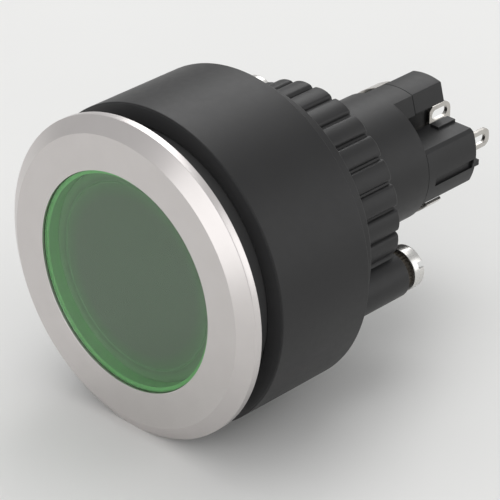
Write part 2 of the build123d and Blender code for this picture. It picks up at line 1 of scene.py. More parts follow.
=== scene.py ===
"""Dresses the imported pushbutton: finely turned copies of the pieces that show, and their materials.

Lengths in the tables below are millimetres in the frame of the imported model: the axis is Y, the
front faces -Y and Z is up. Blender works in metres, so MM converts them. The outline of a turned
piece has (radius, y) points and the outline of a prism has (x, z) points. A third number, where a
corner has one, is the radius that rounds it.
"""
import json
from math import asin, atan2, cos, degrees, pi, radians, sin, sqrt, tan

import bmesh
import bpy
from mathutils import Matrix, Vector

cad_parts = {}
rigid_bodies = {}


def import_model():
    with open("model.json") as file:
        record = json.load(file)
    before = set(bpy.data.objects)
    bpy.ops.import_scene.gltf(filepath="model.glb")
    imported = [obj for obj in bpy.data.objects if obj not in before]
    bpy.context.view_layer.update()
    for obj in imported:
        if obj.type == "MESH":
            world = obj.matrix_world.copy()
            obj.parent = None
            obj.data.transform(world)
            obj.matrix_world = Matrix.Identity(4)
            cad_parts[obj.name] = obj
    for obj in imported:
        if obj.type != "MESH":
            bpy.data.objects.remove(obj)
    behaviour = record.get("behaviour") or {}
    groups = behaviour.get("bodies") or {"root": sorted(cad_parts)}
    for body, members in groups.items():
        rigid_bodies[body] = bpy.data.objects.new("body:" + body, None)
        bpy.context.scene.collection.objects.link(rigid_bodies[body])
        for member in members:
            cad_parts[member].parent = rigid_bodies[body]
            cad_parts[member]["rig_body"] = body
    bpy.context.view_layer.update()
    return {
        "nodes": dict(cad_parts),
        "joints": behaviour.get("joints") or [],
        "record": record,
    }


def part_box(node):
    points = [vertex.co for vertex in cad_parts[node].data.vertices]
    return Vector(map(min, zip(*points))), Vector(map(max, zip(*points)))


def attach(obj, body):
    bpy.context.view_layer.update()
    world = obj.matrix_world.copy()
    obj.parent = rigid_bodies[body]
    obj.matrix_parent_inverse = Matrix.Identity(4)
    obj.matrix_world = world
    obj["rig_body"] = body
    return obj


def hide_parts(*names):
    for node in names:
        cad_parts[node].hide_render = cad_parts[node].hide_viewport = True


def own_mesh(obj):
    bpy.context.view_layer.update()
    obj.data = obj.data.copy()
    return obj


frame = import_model()
nodes = frame["nodes"]

MM = 0.001

# Fineness of arcs and turned pieces
ROUND_STEPS = 5
TURN_SEGMENTS = 288
RING_SEGMENTS = 192
BOSS_SEGMENTS = 96
HOLE_SEGMENTS = 48
MERGE_DISTANCE = 0.0001
DEGENERATE_SIZE = 0.00001

# Clearances, how far a piece reaches into its neighbour before they are joined, and how far a
# cutter passes what it cuts
RUNNING_FIT = 0.05
SEAT_FIT = 0.07
SLEEVE_SLIDE_FIT = 0.12
LOOSE_FIT = 0.3
JOINT_GAP = 0.07
OVERLAP = 0.5
CUT_MARGIN = 1.0

# Neck in the panel, front ring and clamp drum; the drum's front face, painted paler for light that reaches
# into the gap, ends at the painted face depth
NECK_RADIUS = 17.5
LIP_HEIGHT = 0.6
SEAL_WIDTH = 1.5
BEZEL_RIM_WIDTH = 1.0
BEZEL_CHAMFER_WIDTH = 1.85
BEZEL_CHAMFER_DEPTH = 1.3
BEZEL_BORE_INSET = 3.8
SLEEVE_REAR_WALL = 2.0
PAINTED_LIGHT_FACE_DEPTH = 0.02

# Inside of the actuator body, and its tail
BODY_CUP_DEPTH = 10.2
BODY_FLOOR_THICKNESS = 2.0
STEM_GAP = 0.5
STEM_SEAL_SECTION = 0.5
CIRCLIP_HEIGHT = 0.8
TAIL_PASSAGE_GAP = 0.2
TAIL_EDGE = 0.4

# Lens cap and diffusing sheet
LENS_GAP = 0.04
LENS_WINDOW_THICKNESS = 0.5
LENS_SKIRT_WALL = 0.5
LENS_SKIRT_GAP = 0.02
SHEET_THICKNESS = 0.3
SHEET_RIDGE_RADIUS = 11.55
SHEET_RIDGE_HEIGHT = 0.1

# Knurled mounting ring; the flat share is that of a groove's floor in its width
FLANGE_INSET = 0.2
FLANGE_LENGTH = 3.4
WASHER_INSET = 1.1
RING_WALL = 2.5
KNURL_INSET = 3.2
KNURL_COUNT = 27
KNURL_LOBE_RADIUS = 3.2
KNURL_LOBE_STEPS = 14
KNURL_GROOVE_ANGLE = 24.0
KNURL_GROOVE_DEPTH = 0.6
KNURL_GROOVE_WIDTH = 0.45
KNURL_FLAT_SHARE = 0.6
KNURL_RIM_ROUND = 0.3
KNURL_RIM_STEPS = 6
BOSS_ANGLES = (-30.0, 150.0)
BOSS_OFFSET = 0.2
BOSS_RADIUS = 2.96
BOSS_PROJECTION = 0.6

# Rounded shoulder between a groove of the knurl and its lobe: its width is an angle in radians
SHOULDER_ANGLE = 0.012
SHOULDER_START = 0.2 * SHOULDER_ANGLE
SHOULDER_DROP = 0.16

# Clamp screws and their thread inserts
SCREW_RADIUS = 1.5
SCREW_HEAD_RADIUS = 2.74
SCREW_SLOT_WIDTH = 0.8
SCREW_SLOT_DEPTH = 1.0
SCREW_SLOT_ANGLE = 56.0
INSERT_RADIUS = 2.42
INSERT_TEETH = 30
INSERT_TOOTH_DEPTH = 0.14

# Switch carrier and the spine behind it
CARRIER_RADIUS = 8.38
CARRIER_WALL = 1.28
CARRIER_FLOOR = 1.0
PLUNGER_ARM_THICKNESS = 1.2
WEB_HALF_WIDTH = 0.7
TOWER_TOP_HALF_WIDTH = 2.3
TOWER_FOOT_HALF_WIDTH = 2.95
TOWER_FOOT_HEIGHT = 5.6
TOWER_ROOT_HEIGHT = 4.6

# Retaining clips
CLIP_INSET = 0.1
CLIP_THICKNESS = 0.4
CLIP_START_ANGLE = 108.5
CLIP_SWEEP = 31.5
CLIP_BEND_ANGLE = 3.0
CLIP_LEG_HEIGHT = 2.0

# Switch elements
ELEMENT_TOP = 3.4
ELEMENT_BOTTOM = 3.85
ELEMENT_GAP = 0.2
ELEMENT_STEP_X = 2.9
ELEMENT_STEP_Z = 0.6
ELEMENT_CHAMFER = 0.35
ELEMENT_CHAMFER_ANGLE = 2.6
SIDE_GROOVE_BOTTOM = -1.6
SIDE_GROOVE_TOP = -0.45
SIDE_GROOVE_DEPTH = 0.5
SIDE_GROOVE_FRONT_MARGIN = 1.4
SIDE_GROOVE_REAR_MARGIN = 0.4
LATCH_SIZE = 0.75
LATCH_Z = -1.3
RIDGE_START = 3.5
RIDGE_END = 4.8
RIDGE_HEIGHT = 0.35
RIDGE_LENGTH = 3.2

# Solder tabs of the switch elements: kind, x and z of the middle, length and width
ELEMENT_TABS = (
    ("outer", 6.0, 0.2, 5.0, 2.5),
    ("inner", 3.0, -1.65, 4.0, 2.3),
)
TAB_THICKNESS = 0.5
TAB_CORNER = 1.0
TAB_FOOT = 0.6
TAB_HOLE_WIDTH = 1.2
TAB_HOLE_LENGTH = 2.4
TAB_HOLE_MARGIN = 0.75

# Solder tabs of the lamp
LAMP_LEG_GAP = 0.1
LAMP_LEG_HEIGHT = 1.2
LAMP_TAB_INSET = 0.68
LAMP_TAB_TOP = 4.22
LAMP_TAB_CHAMFER = 0.55
LAMP_TAB_ROUND = 1.3
LAMP_TAB_HOLE_LENGTH = 2.9
LAMP_TAB_HOLE_WIDTH = 1.4
LAMP_TAB_HOLE_MARGIN = 0.6

# Places across the axis, worked out from the sizes above
LIP_RADIUS = NECK_RADIUS - LIP_HEIGHT
SEAL_RADIUS = NECK_RADIUS + SEAL_WIDTH
BEZEL_RADIUS = SEAL_RADIUS + BEZEL_RIM_WIDTH
BEZEL_FLAT_RADIUS = BEZEL_RADIUS - BEZEL_CHAMFER_WIDTH
BEZEL_BORE_RADIUS = NECK_RADIUS - BEZEL_BORE_INSET
LENS_RADIUS = BEZEL_BORE_RADIUS - LENS_GAP
FLANGE_RADIUS = NECK_RADIUS - FLANGE_INSET
WASHER_RADIUS = FLANGE_RADIUS - WASHER_INSET
KNURL_RADIUS = FLANGE_RADIUS - KNURL_INSET
KNURL_GROOVE_RADIUS = KNURL_RADIUS - KNURL_GROOVE_DEPTH
BOSS_CIRCLE_RADIUS = KNURL_RADIUS + BOSS_OFFSET
TAIL_RADIUS = KNURL_GROOVE_RADIUS - RING_WALL
CARRIER_BORE_RADIUS = CARRIER_RADIUS - CARRIER_WALL
STEM_RADIUS = CARRIER_BORE_RADIUS - STEM_GAP
TAIL_PASSAGE_RADIUS = STEM_RADIUS + CIRCLIP_HEIGHT + TAIL_PASSAGE_GAP
TOWER_SHOULDER = sqrt(CARRIER_RADIUS**2 - TOWER_TOP_HALF_WIDTH**2)
CLIP_RADIUS = CARRIER_RADIUS - CLIP_INSET
ELEMENT_INNER = WEB_HALF_WIDTH + ELEMENT_GAP
LAMP_TAB_BOTTOM = ELEMENT_STEP_Z + LAMP_LEG_GAP

# Sides of the spine: the left switch element is the half turn of the right one
SIDES = {"right": 1, "left": -1}


def span(node):
    """Front and rear end of a node along the axis, in millimetres."""
    low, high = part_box(node)
    return low.y / MM, high.y / MM


# Places along the axis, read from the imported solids
BEZEL_FRONT, SEAT = span("front_bezel")
SEAL_FRONT = span("panel_seal")[0]
BODY_FRONT, TAIL_END = span("actuator_body")
SLEEVE_FRONT, SLEEVE_REAR = span("clamp_sleeve")
RING_FRONT, BOSS_REAR = span("mounting_ring")
FLANGE_REAR = RING_FRONT + FLANGE_LENGTH
KNURL_REAR = BOSS_REAR - BOSS_PROJECTION
WASHER_REAR = span("thrust_washer")[1]
SCREW_TIP, SCREW_END = span("clamp_screw_1")
INSERT_FRONT, INSERT_REAR = span("thread_insert_1")
LENS_FRONT, LENS_REAR = span("lens_cap")
WINDOW_REAR = LENS_FRONT + LENS_WINDOW_THICKNESS
DIFFUSER_REAR = span("diffuser")[1]
CARRIER_FRONT, TOWER_JOINT = span("switch_carrier")
CARRIER_REAR = span("plunger_right")[1] - PLUNGER_ARM_THICKNESS
REAR_PLANE = span("terminal_block")[1]
CLIP_FRONT, CLIP_REAR = span("carrier_clip_1")


# Outlines


def arc(centre, radius, start, end, steps=ROUND_STEPS):
    """Points along a circular arc, angles in degrees."""
    turn = [radians(start + (end - start) * i / steps) for i in range(steps + 1)]
    return [(centre[0] + radius * cos(a), centre[1] + radius * sin(a)) for a in turn]


def rounded(corners):
    """Outline whose corners (a, b, radius) are replaced by arcs where the radius isn't zero."""
    outline = []
    for i, (a, b, radius) in enumerate(corners):
        here = Vector((a, b))
        before = Vector(corners[i - 1][:2]) - here
        after = Vector(corners[(i + 1) % len(corners)][:2]) - here
        if radius <= 0:
            outline.append((a, b))
            continue
        half = before.angle(after) / 2
        centre = here + (before.normalized() + after.normalized()).normalized() * (radius / sin(half))
        start = here + before.normalized() * (radius / tan(half)) - centre
        sweep = start.angle_signed(here + after.normalized() * (radius / tan(half)) - centre)
        for step in range(ROUND_STEPS + 1):
            point = centre + Matrix.Rotation(-sweep * step / ROUND_STEPS, 2) @ start
            outline.append((point.x, point.y))
    return outline


def rectangle(x_low, x_high, z_low, z_high):
    """Outline of a rectangle."""
    return [(x_low, z_low), (x_high, z_low), (x_high, z_high), (x_low, z_high)]


def oblong(middle, length, width):
    """Slot outline with round ends, along the axis."""
    y, z = middle
    reach = (length - width) / 2
    rear_end = arc((y + reach, z), width / 2, 90, -90, steps=14)
    return rear_end + arc((y - reach, z), width / 2, -90, -270, steps=14)


# Solids


def add_object(name, data):
    """New object in the scene with that data."""
    thing = bpy.data.objects.new(name, data)
    bpy.context.scene.collection.objects.link(thing)
    return thing


def evaluated_mesh(thing):
    """New mesh of the object as it shows, with its modifiers applied."""
    depsgraph = bpy.context.evaluated_depsgraph_get()
    return bpy.data.meshes.new_from_object(thing.evaluated_get(depsgraph))


def vertex(shape, x, y, z):
    """New vertex of the shape at a place in millimetres."""
    return shape.verts.new((x * MM, y * MM, z * MM))


def skin(shape, sections):
    """Faces between successive sections, which have as many vertices each, and over both ends."""
    shape.faces.new(sections[0])
    shape.faces.new(reversed(sections[-1]))
    count = len(sections[0])
    for front, rear in zip(sections, sections[1:]):
        for i in range(count):
            j = (i + 1) % count
            shape.faces.new((front[i], rear[i], rear[j], front[j]))


def solid(name, shape):
    """Object of the shape, its doubled vertices merged and its faces turned outwards."""
    bmesh.ops.remove_doubles(shape, verts=shape.verts, dist=MERGE_DISTANCE * MM)
    bmesh.ops.recalc_face_normals(shape, faces=shape.faces)
    mesh = bpy.data.meshes.new(name)
    shape.to_mesh(mesh)
    shape.free()
    return add_object(name, mesh)


def lathe(name, outline, centre=(0.0, 0.0), segments=TURN_SEGMENTS):
    """Solid turned about the line parallel to Y through centre (x, z)."""
    shape = bmesh.new()
    rows = []
    for i in range(segments):
        turn = 2 * pi * i / segments
        rows.append([
            vertex(shape, centre[0] + r * cos(turn), y, centre[1] + r * sin(turn)) for r, y in outline
        ])
    for row, following in zip(rows, rows[1:] + rows[:1]):
        for j in range(len(outline)):
            k = (j + 1) % len(outline)
            if outline[j][0] > 0 or outline[k][0] > 0:
                shape.faces.new((row[j], row[k], following[k], following[j]))
    bmesh.ops.dissolve_degenerate(shape, dist=DEGENERATE_SIZE * MM, edges=shape.edges)
    return solid(name, shape)


def cylinder(name, radius, front, rear, centre, segments):
    """Plain round bar along the axis."""
    return lathe(name, [(0, front), (radius, front), (radius, rear), (0, rear)], centre, segments)


def prism(name, outline, front, rear, side=1):
    """Solid of constant section along the axis; side -1 gives its half turn."""
    shape = bmesh.new()
    skin(shape, [[vertex(shape, side * x, y, side * z) for x, z in outline] for y in (front, rear)])
    return solid(name, shape)


def plate(name, outlines, x, side):
    """Flat blade parallel to the axis, from (y, z) outlines: its edge first, then its holes."""
    curve = bpy.data.curves.new(name, "CURVE")
    curve.dimensions = "2D"
    curve.fill_mode = "BOTH"
    curve.extrude = TAB_THICKNESS / 2 * MM
    for outline in outlines:
        spline = curve.splines.new("POLY")
        spline.points.add(len(outline) - 1)
        spline.use_cyclic_u = True
        for point, (a, b) in zip(spline.points, outline):
            point.co = (a * MM, b * MM, 0, 1)
    drawn = add_object(f"{name}_outline", curve)
    mesh = evaluated_mesh(drawn)
    bpy.data.objects.remove(drawn)
    where = Matrix(((0, 0, side), (1, 0, 0), (0, side, 0))).to_4x4()
    where.translation = Vector((side * x, 0, 0)) * MM
    mesh.transform(where)
    shape = bmesh.new()
    shape.from_mesh(mesh)
    bpy.data.meshes.remove(mesh)
    return solid(name, shape)


def combine(piece, tool, operation):
    """Replaces the piece's mesh by its union with the tool, or by what the tool leaves of it."""
    cut = piece.modifiers.new("combine", "BOOLEAN")
    cut.operation = operation
    cut.solver = "EXACT"
    cut.object = tool
    result = evaluated_mesh(piece)
    piece.modifiers.clear()
    piece.data = result
    bpy.data.objects.remove(tool)


def soften(piece, bevel=0.0, segments=3, sharp_angle=32.0):
    """Smooth shading that keeps flat faces flat, with an optional rounding of every sharp edge."""
    piece.data.polygons.foreach_set("use_smooth", [True] * len(piece.data.polygons))
    if bevel > 0:
        rounding = piece.modifiers.new("edge rounding", "BEVEL")
        rounding.width = bevel * MM
        rounding.segments = segments
        rounding.limit_method = "ANGLE"
        rounding.angle_limit = radians(sharp_angle)
        rounding.harden_normals = True
        rounding.miter_outer = "MITER_ARC"
    else:
        piece.data.set_sharp_from_angle(angle=radians(sharp_angle))
        weighted = piece.modifiers.new("flat faces", "WEIGHTED_NORMAL")
        weighted.keep_sharp = True
        weighted.weight = 80
    return piece


# Materials


def base_material(name):
    """Material with its tree, shader and object coordinates."""
    material = bpy.data.materials.new(name)
    material.use_nodes = True
    tree = material.node_tree
    shader = tree.nodes["Principled BSDF"]
    coordinates = tree.nodes.new("ShaderNodeTexCoord")
    return material, tree, shader, coordinates.outputs["Object"]


def maths(tree, operation, *values):
    """Result of a Math node on sockets and plain numbers."""
    step = tree.nodes.new("ShaderNodeMath")
    step.operation = operation
    for socket, value in zip(step.inputs, values):
        if isinstance(value, float):
            socket.default_value = value
        else:
            tree.links.new(value, socket)
    return step.outputs["Value"]


def axis_distance(tree, place):
    """Distance from the Y axis, in metres."""
    parts = tree.nodes.new("ShaderNodeSeparateXYZ")
    tree.links.new(place, parts.inputs["Vector"])
    squares = [maths(tree, "MULTIPLY", parts.outputs[axis], parts.outputs[axis]) for axis in ("X", "Z")]
    return maths(tree, "SQRT", maths(tree, "ADD", *squares))


def noise(tree, place, size, detail=3.0):
    """Noise whose grains are about size millimetres wide."""
    texture = tree.nodes.new("ShaderNodeTexNoise")
    texture.inputs["Scale"].default_value = 1.0 / (size * MM)
    texture.inputs["Detail"].default_value = detail
    tree.links.new(place, texture.inputs["Vector"])
    return texture.outputs["Fac"]


def ring_noise(tree, place, size, detail=2.0):
    """Noise in rings round the Y axis, about size millimetres wide."""
    texture = tree.nodes.new("ShaderNodeTexNoise")
    texture.noise_dimensions = "1D"
    texture.inputs["Scale"].default_value = 1.0 / (size * MM)
    texture.inputs["Detail"].default_value = detail
    tree.links.new(axis_distance(tree, place), texture.inputs["W"])
    return texture.outputs["Fac"]


def remap(tree, pattern, low, high):
    """The middle range of a noise pattern, where most of it lies, spread from low to high."""
    spread = tree.nodes.new("ShaderNodeMapRange")
    spread.inputs["From Min"].default_value = 0.3
    spread.inputs["From Max"].default_value = 0.7
    spread.inputs["To Min"].default_value = low
    spread.inputs["To Max"].default_value = high
    tree.links.new(pattern, spread.inputs["Value"])
    return spread.outputs["Result"]


def mottle(tree, shader, pattern, dark, light):
    """Base colour that follows a noise pattern between dark and light."""
    mix = tree.nodes.new("ShaderNodeMix")
    mix.data_type = "RGBA"
    mix.inputs["A"].default_value = (*dark, 1)
    mix.inputs["B"].default_value = (*light, 1)
    tree.links.new(remap(tree, pattern, 0.0, 1.0), mix.inputs["Factor"])
    tree.links.new(mix.outputs["Result"], shader.inputs["Base Color"])


def gloss(tree, shader, pattern, roughness, spread=0.02):
    """Roughness that follows a noise pattern, by spread up and down."""
    value = remap(tree, pattern, roughness - spread, roughness + spread)
    tree.links.new(value, shader.inputs["Roughness"])


def bump(tree, shader, pattern, depth):
    """Surface relief of that depth in millimetres."""
    relief = tree.nodes.new("ShaderNodeBump")
    relief.inputs["Distance"].default_value = depth * MM
    relief.inputs["Strength"].default_value = 1.0
    tree.links.new(pattern, relief.inputs["Height"])
    tree.links.new(relief.outputs["Normal"], shader.inputs["Normal"])


def plastic(name, dark, light, roughness, specular=0.35):
    """Moulded plastic: a fine spark-eroded grain and slight changes of shade and gloss."""
    material, tree, shader, place = base_material(name)
    mottle(tree, shader, noise(tree, place, size=6.0), dark, light)
    gloss(tree, shader, noise(tree, place, size=0.8), roughness)
    shader.inputs["Specular IOR Level"].default_value = specular
    bump(tree, shader, noise(tree, place, size=0.25, detail=4.0), depth=0.0015)
    return material


def metal(name, dark, light, roughness):
    """Plated metal with a faint mottle."""
    material, tree, shader, place = base_material(name)
    mottle(tree, shader, noise(tree, place, size=1.2), dark, light)
    gloss(tree, shader, noise(tree, place, size=0.5), roughness)
    shader.inputs["Metallic"].default_value = 1.0
    bump(tree, shader, noise(tree, place, size=0.15), depth=0.0004)
    return material


def turned_metal(name, dark, light, roughness):
    """Bead-blasted metal that still shows faint rings from turning."""
    material, tree, shader, place = base_material(name)
    rings = ring_noise(tree, place, size=0.12)
    mottle(tree, shader, noise(tree, place, size=3.0), dark, light)
    gloss(tree, shader, rings, roughness)
    shader.inputs["Metallic"].default_value = 1.0
    bump(tree, shader, maths(tree, "ADD", rings, noise(tree, place, size=0.1)), depth=0.0008)
    return material


def clear_plastic(name, colour, density):
    """Clear window: pale at the surface, deeper where the light goes further through it."""
    material, tree, shader, _ = base_material(name)
    shader.inputs["Base Color"].default_value = (1, 1, 1, 1)
    shader.inputs["Roughness"].default_value = 0.02
    shader.inputs["IOR"].default_value = 1.49
    shader.inputs["Transmission Weight"].default_value = 1.0
    absorption = tree.nodes.new("ShaderNodeVolumeAbsorption")
    absorption.inputs["Color"].default_value = (*colour, 1)
    absorption.inputs["Density"].default_value = density
    tree.links.new(absorption.outputs["Volume"], tree.nodes["Material Output"].inputs["Volume"])
    return material


def frosted(name, dark, light):
    """Matt plastic or glass."""
    material, tree, shader, place = base_material(name)
    mottle(tree, shader, noise(tree, place, size=4.0), dark, light)
    shader.inputs["Roughness"].default_value = 0.55
    bump(tree, shader, noise(tree, place, size=0.15), depth=0.0004)
    return material


def sheet_with_painted_light(name, middle, painted_edge_glow, ridge, edge):
    """Matt sheet with painted light: lighter and greener towards its edge, standing for light that comes
    through the green skirt, and a painted highlight ring on its ridge.

    The stops of its ramp are shares of the lens's radius.
    """
    material, tree, shader, place = base_material(name)
    fade, step = 0.14, 0.01
    start = SHEET_RIDGE_RADIUS / LENS_RADIUS
    end = start + 2 * SHEET_RIDGE_HEIGHT / LENS_RADIUS
    stops = [
        (start - fade, middle),
        (start - step, painted_edge_glow),
        (start, ridge),
        (end, ridge),
        (end + step, painted_edge_glow),
    ]
    ramp = tree.nodes.new("ShaderNodeValToRGB")
    for position, colour in stops:
        ramp.color_ramp.elements.new(position).color = (*colour, 1)
    ramp.color_ramp.elements[0].color = (*middle, 1)
    ramp.color_ramp.elements[-1].color = (*edge, 1)
    across = maths(tree, "DIVIDE", axis_distance(tree, place), LENS_RADIUS * MM)
    tree.links.new(across, ramp.inputs["Fac"])
    tree.links.new(ramp.outputs["Color"], shader.inputs["Base Color"])
    shader.inputs["Roughness"].default_value = 0.6
    return material


# One material for each slot of the record, with the darkest and lightest shade of its mottle
MATERIALS = {
    "bezel_aluminium": turned_metal("turned_aluminium", (0.64, 0.61, 0.60), (0.66, 0.63, 0.62), 0.34),
    "black_housing": plastic("black_plastic", (0.011, 0.011, 0.0115), (0.013, 0.013, 0.0135), 0.45),
    "dark_housing": plastic("dark_plastic", (0.014, 0.014, 0.0145), (0.017, 0.017, 0.0175), 0.46),
    "seal_rubber": plastic("black_rubber", (0.008, 0.008, 0.008), (0.012, 0.012, 0.012), 0.75,
                           specular=0.3),
    "lens_green": clear_plastic("clear_green", colour=(0.13, 0.81, 0.15), density=500.0),
    # Painted light: the sheet's greener, paler edge and ridge stand for light through the skirt and a
    # highlight ring
    "diffuser_white": sheet_with_painted_light("frosted_sheet_painted_light",
                                     middle=(0.135, 0.135, 0.13), painted_edge_glow=(0.135, 0.20, 0.13),
                                     ridge=(0.16, 0.27, 0.16), edge=(0.27, 0.46, 0.26)),
    "holder_white": frosted("white_plastic", (0.62, 0.62, 0.60), (0.68, 0.68, 0.66)),
    "steel": metal("plated_steel", (0.64, 0.63, 0.61), (0.68, 0.67, 0.65), 0.28),
    "spring_steel": metal("spring_steel", (0.50, 0.50, 0.50), (0.60, 0.60, 0.60), 0.3),
    # Painted shade: the brass inserts are darkened nearly to black for the shade under the screw heads
    "brass": metal("brass_painted_shade", (0.045, 0.040, 0.033), (0.065, 0.058, 0.048), 0.5),
    "tab_silver": metal("silvered_brass", (0.50, 0.48, 0.45), (0.55, 0.53, 0.50), 0.25),
    "lamp_white": frosted("lamp_glass", (0.75, 0.75, 0.72), (0.8, 0.8, 0.77)),
}
SLOT_OF = {part["node"]: part["material_slot"] for part in frame["record"]["subparts"]}

# Shades of a piece or a face that differ from its slot's: the milky skirt of the lens, and the actuator
# body and the drum's front face painted paler, for light that reaches into the gap behind the front ring
MILKY_GREEN = frosted("milky_green", (0.25, 0.62, 0.24), (0.27, 0.65, 0.26))
NECK_PAINTED_LIGHT_GREY = plastic("neck_plastic_painted_light", (0.063, 0.063, 0.064), (0.068, 0.068, 0.069), 0.45)
FACE_PAINTED_LIGHT_GREY = plastic("face_plastic_painted_light", (0.036, 0.036, 0.037), (0.040, 0.040, 0.041), 0.42,
                    specular=0.5)


def paint(thing, node):
    """The object gets the material of the node's slot, and no other."""
    thing.data.materials.clear()
    thing.data.materials.append(MATERIALS[SLOT_OF[node]])


def dress(piece, node):
    """The piece stands for the node, on its body and with its slot's material."""
    paint(piece, node)
    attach(piece, nodes[node]["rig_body"])
    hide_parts(node)


# Front ring, seal, body and clamp drum


def build_bezel():
    """Front ring: a flat face, a chamfer and a rim that seats on the panel."""
    bezel = lathe("turned_front_ring", rounded([
        (BEZEL_BORE_RADIUS, BEZEL_FRONT, 0.06),
        (BEZEL_FLAT_RADIUS, BEZEL_FRONT, 0.12),
        (BEZEL_RADIUS, BEZEL_FRONT + BEZEL_CHAMFER_DEPTH, 0.12),
        (BEZEL_RADIUS, SEAT, 0.12),
        (SEAL_RADIUS, SEAT, 0.03),
        (SEAL_RADIUS, SEAL_FRONT, 0),
        (LIP_RADIUS + RUNNING_FIT, SEAL_FRONT, 0),
        (LIP_RADIUS + RUNNING_FIT, BODY_FRONT, 0),
        (BEZEL_BORE_RADIUS, BODY_FRONT, 0.05),
    ]))
    dress(soften(bezel), "front_bezel")


def build_seal():
    """Flat seal in the front ring's rear face."""
    seal = lathe("flat_seal", rounded([
        (NECK_RADIUS + RUNNING_FIT, SEAL_FRONT, 0),
        (SEAL_RADIUS - RUNNING_FIT, SEAL_FRONT, 0),
        (SEAL_RADIUS - RUNNING_FIT, SEAT, 0.08),
        (NECK_RADIUS + RUNNING_FIT, SEAT, 0.08),
    ]))
    dress(soften(seal), "panel_seal")


def build_body():
    """Actuator body: the neck in the panel, the floor with the stem's bore, and the tail."""
    bore = BEZEL_BORE_RADIUS + RUNNING_FIT
    stem_bore = STEM_RADIUS + RUNNING_FIT
    floor_rear = BODY_CUP_DEPTH + BODY_FLOOR_THICKNESS
    floor_middle = BODY_CUP_DEPTH + BODY_FLOOR_THICKNESS / 2
    groove_reach = STEM_SEAL_SECTION + RUNNING_FIT
    groove_radius = STEM_RADIUS + 2 * groove_reach
    body = lathe("moulded_body", rounded([
        (bore, BODY_FRONT, 0.05),
        (LIP_RADIUS, BODY_FRONT, 0.05),
        (LIP_RADIUS, SEAL_FRONT, 0),
        (NECK_RADIUS, SEAL_FRONT, 0.05),
        (NECK_RADIUS, floor_rear, 0.3),
        (TAIL_RADIUS, floor_rear, 0),
        (TAIL_RADIUS, TAIL_END - TAIL_EDGE, 0),
        (TAIL_RADIUS - TAIL_EDGE, TAIL_END, 0.05),
        (CARRIER_RADIUS + SEAT_FIT, TAIL_END, 0.05),
        (CARRIER_RADIUS + SEAT_FIT, CARRIER_FRONT, 0),
        (TAIL_PASSAGE_RADIUS, CARRIER_FRONT, 0),
        (TAIL_PASSAGE_RADIUS, floor_rear, 0),
        (groove_radius, floor_middle + groove_reach, 0),
        (groove_radius, floor_middle - groove_reach, 0),
        (stem_bore, floor_middle - groove_reach, 0),
        (stem_bore, BODY_CUP_DEPTH, 0.05),
        (bore, BODY_CUP_DEPTH, 0.2),
    ]))
    dress(soften(body), "actuator_body")
    # Painted light: the body takes a paler grey than its slot, for the light that reaches its neck in the
    # gap.
    body.data.materials[0] = NECK_PAINTED_LIGHT_GREY


def build_drum():
    """Clamp drum that slides on the neck, with a rear wall and a front face painted paler, for light that
    reaches into the gap behind the front ring.
    """
    inner = NECK_RADIUS + SLEEVE_SLIDE_FIT
    wall_front = SLEEVE_REAR - SLEEVE_REAR_WALL
    drum = lathe("clamp_drum", rounded([
        (inner, SLEEVE_FRONT, 0.1),
        (BEZEL_RADIUS, SLEEVE_FRONT, 0.2),
        (BEZEL_RADIUS, SLEEVE_REAR, 0.12),
        (TAIL_RADIUS + LOOSE_FIT, SLEEVE_REAR, 0.1),
        (TAIL_RADIUS + LOOSE_FIT, wall_front, 0.1),
        (inner, wall_front, 0.2),
    ]))
    dress(soften(drum), "clamp_sleeve")
    # Painted light: the faces at the very front take a paler grey than the drum's slot.
    drum.data.materials.append(FACE_PAINTED_LIGHT_GREY)
    for face in drum.data.polygons:
        if face.center.y < (SLEEVE_FRONT + PAINTED_LIGHT_FACE_DEPTH) * MM:
            face.material_index = 1


# Lens cap and diffusing sheet


def build_lens():
    """Lens cap, as its clear window and its milky skirt."""
    window = lathe("window", rounded([
        (0, LENS_FRONT, 0),
        (LENS_RADIUS, LENS_FRONT, 0.1),
        (LENS_RADIUS, WINDOW_REAR, 0),
        (0, WINDOW_REAR, 0),
    ]))
    dress(soften(window), "lens_cap")
    inner = LENS_RADIUS - LENS_SKIRT_WALL
    skirt_front = WINDOW_REAR + LENS_SKIRT_GAP
    skirt = lathe("window_skirt", rounded([
        (inner, skirt_front, 0),
        (LENS_RADIUS, skirt_front, 0),
        (LENS_RADIUS, LENS_REAR, 0.05),
        (inner, LENS_REAR, 0.05),
    ]))
    dress(soften(skirt), "lens_cap")
    skirt.data.materials[0] = MILKY_GREEN


def build_sheet():
    """Thin diffusing sheet with a low ring ridge on its front."""
    front = DIFFUSER_REAR - SHEET_THICKNESS
    outer = LENS_RADIUS - LENS_SKIRT_WALL - RUNNING_FIT
    sheet = lathe("diffusing_sheet", rounded([
        (0, front, 0),
        (SHEET_RIDGE_RADIUS, front, 0),
        (SHEET_RIDGE_RADIUS + SHEET_RIDGE_HEIGHT, front - SHEET_RIDGE_HEIGHT, 0.04),
        (SHEET_RIDGE_RADIUS + 2 * SHEET_RIDGE_HEIGHT, front, 0),
        (outer, front, 0.1),
        (outer, DIFFUSER_REAR, 0.1),
        (0, DIFFUSER_REAR, 0),
    ]))
    dress(soften(sheet), "diffuser")


# Mounting ring


def boss_centre(angle):
    """Centre (x, z) of the screw boss at that angle."""
    turn = radians(angle)
    return BOSS_CIRCLE_RADIUS * cos(turn), BOSS_CIRCLE_RADIUS * sin(turn)


